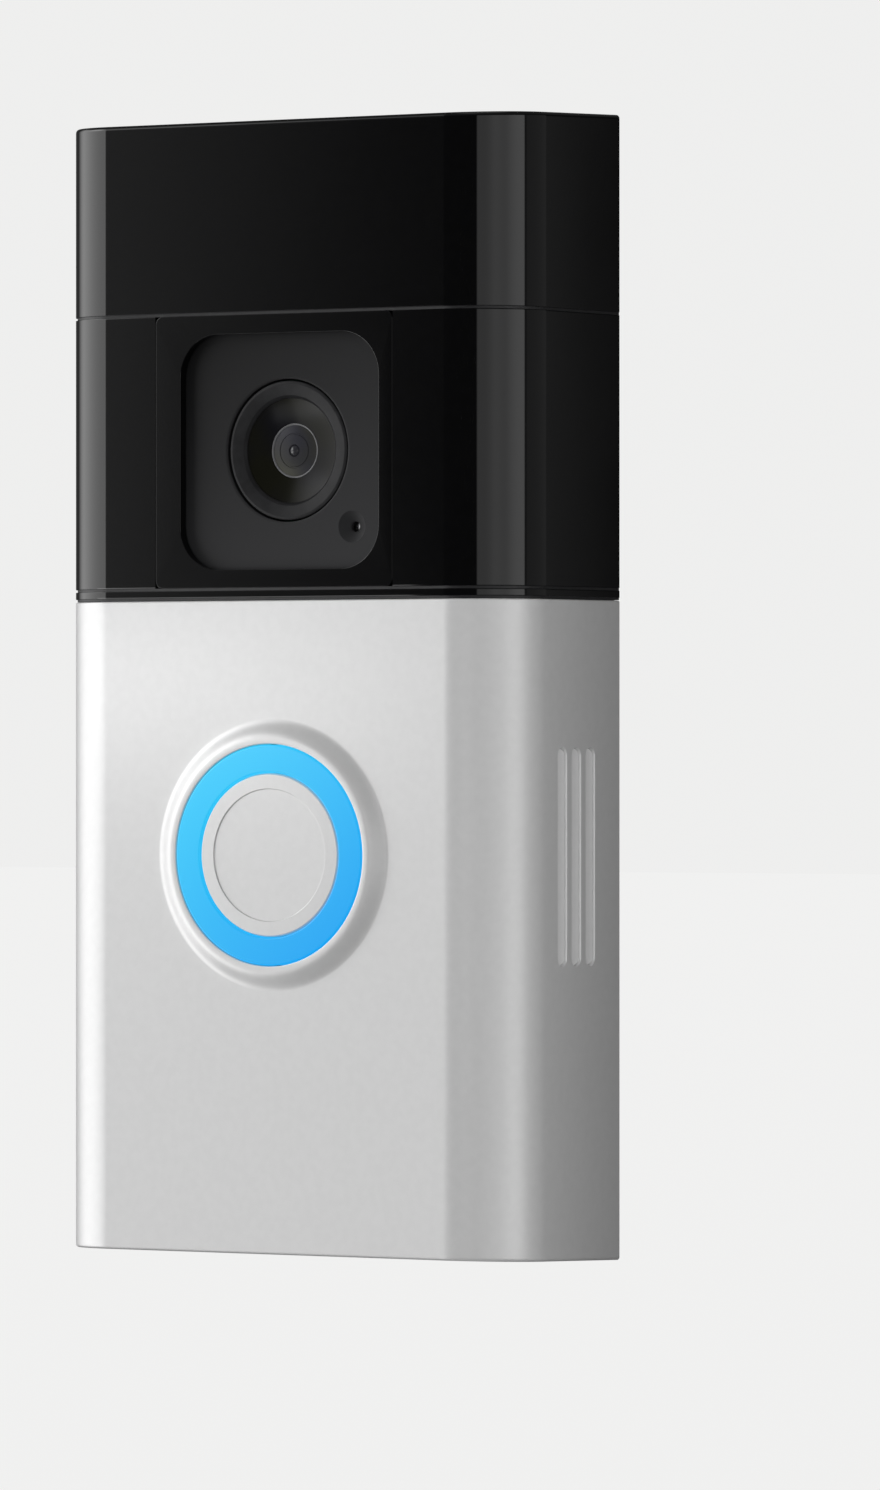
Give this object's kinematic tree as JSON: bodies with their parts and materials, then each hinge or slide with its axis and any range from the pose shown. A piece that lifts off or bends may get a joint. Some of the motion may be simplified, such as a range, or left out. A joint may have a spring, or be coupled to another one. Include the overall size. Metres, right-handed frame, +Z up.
{
  "type": "video doorbell",
  "caption": "Slim upright battery video doorbell: gloss black camera section over a silver faceplate with a ring-lit push button, on a wall bracket.",
  "frame": {"origin": "on the wall plane, at the centre of the wall bracket's back face, half way up the shell", "axes": "+X to a visitor's right, +Y into the wall, +Z up"},
  "size_m": [0.0618, 0.029, 0.128],
  "materials": {
    "battery_case": "fine matt dark grey",
    "board_green": "green solder mask",
    "bracket_black": "matt textured black",
    "cell_wrap": "shrink-wrapped cell",
    "chassis_black": "fine spark-eroded black",
    "chip_black": "moulded epoxy black",
    "contact_gold": "gold-plated spring metal",
    "dome_silicone": "soft translucent silicone",
    "flex_amber": "polyimide film",
    "gloss_black": "high gloss moulded black",
    "lamp_white": "white lamp body",
    "lens_glass": "coated dark glass",
    "lens_metal": "black anodised, satin",
    "light_ring": "translucent diffuser, lit blue",
    "satin_black": "fine satin black",
    "screw_steel": "stainless, machined",
    "setup_orange": "satin orange",
    "shield_steel": "tinned steel sheet",
    "silver_paint": "fine satin silver lacquer",
    "speaker_cone": "pressed polymer diaphragm",
    "speaker_mesh": "fine woven acoustic mesh",
    "window_grey": "satin dark grey, infrared-clear"
  },
  "bodies": {
    "bracket": {"wall_bracket": "bracket_black"},
    "unit": {"upper_cap": "gloss_black", "camera_housing": "gloss_black", "camera_panel": "gloss_black", "seam_trim": "satin_black", "front_cover": "satin_black", "camera_window": "window_grey", "light_ring": "light_ring", "chassis": "chassis_black", "front_lens": "lens_glass", "inner_lens": "lens_glass", "infrared_lamp_1": "lens_glass", "infrared_lamp_2": "lens_glass", "lens_bezel": "lens_metal", "lens_barrel": "lens_metal", "aperture_stop": "chip_black", "camera_board": "board_green", "main_board": "board_green", "ring_board": "board_green", "image_sensor": "chip_black", "tactile_switch": "chip_black", "setup_switch": "chip_black", "terminal_block": "chip_black", "speaker_frame": "chip_black", "processor_shield": "shield_steel", "wireless_module": "shield_steel", "motion_sensor": "shield_steel", "microphone": "shield_steel", "speaker_magnet": "shield_steel", "light_sensor": "lamp_white", "button_dome": "dome_silicone", "camera_flex": "flex_amber", "speaker_cone": "speaker_cone", "speaker_mesh": "speaker_mesh", "terminal_screw_1": "screw_steel", "terminal_screw_2": "screw_steel", "housing_screw_top_left": "screw_steel", "housing_screw_top_right": "screw_steel", "housing_screw_mid_left": "screw_steel", "housing_screw_mid_right": "screw_steel", "ring_lamp_1": "lamp_white", "ring_lamp_2": "lamp_white", "ring_lamp_3": "lamp_white", "ring_lamp_4": "lamp_white", "ring_lamp_5": "lamp_white", "ring_lamp_6": "lamp_white", "battery_contact_1": "contact_gold", "battery_contact_2": "contact_gold", "battery_contact_3": "contact_gold"},
    "faceplate": {"faceplate": "silver_paint"},
    "button": {"button_cap": "silver_paint"},
    "battery": {"battery_case": "battery_case", "battery_cell": "cell_wrap", "battery_board": "board_green", "battery_end_cap": "battery_case", "charging_socket": "shield_steel"},
    "battery_latch": {"battery_latch": "setup_orange"},
    "screw_retainer": {"screw_retainer": "screw_steel"},
    "security_screw": {"security_screw": "screw_steel"},
    "setup_button": {"setup_button": "setup_orange"}
  },
  "joints": [
    {"name": "unit_lift", "type": "slide", "parent": "bracket", "child": "unit", "axis": [0, 0, 1], "range_m": [0, 0.006]},
    {"name": "faceplate_release", "type": "slide", "parent": "unit", "child": "faceplate", "axis": [0, -1, 0], "range_m": [0, 0.04]},
    {"name": "button_press", "type": "slide", "parent": "unit", "child": "button", "axis": [0, 1, 0], "range_m": [0, 0.0006], "stiffness_N_per_m": 2000, "deforming": ["button_dome"]},
    {"name": "battery_slide", "type": "slide", "parent": "unit", "child": "battery", "axis": [0, 0, -1], "range_m": [0, 0.075]},
    {"name": "battery_latch_press", "type": "slide", "parent": "battery", "child": "battery_latch", "axis": [0, 0, 1], "range_m": [0, 0.0015], "stiffness_N_per_m": 800},
    {"name": "screw_travel", "type": "slide", "parent": "unit", "child": "screw_retainer", "axis": [0, 0, -1], "range_m": [0, 0.004]},
    {"name": "security_screw_turn", "type": "hinge", "parent": "screw_retainer", "child": "security_screw", "pos_m": [0, -0.0236, -0.062], "axis": [0, 0, -1], "range_deg": [0, 1450]},
    {"name": "setup_button_press", "type": "slide", "parent": "unit", "child": "setup_button", "axis": [0, 1, 0], "range_m": [0, 0.0004], "stiffness_N_per_m": 1500}
  ],
  "couplings": [
    {"joint": "security_screw_turn", "follows": "screw_travel", "rad_per_m": 6283.2}
  ]
}
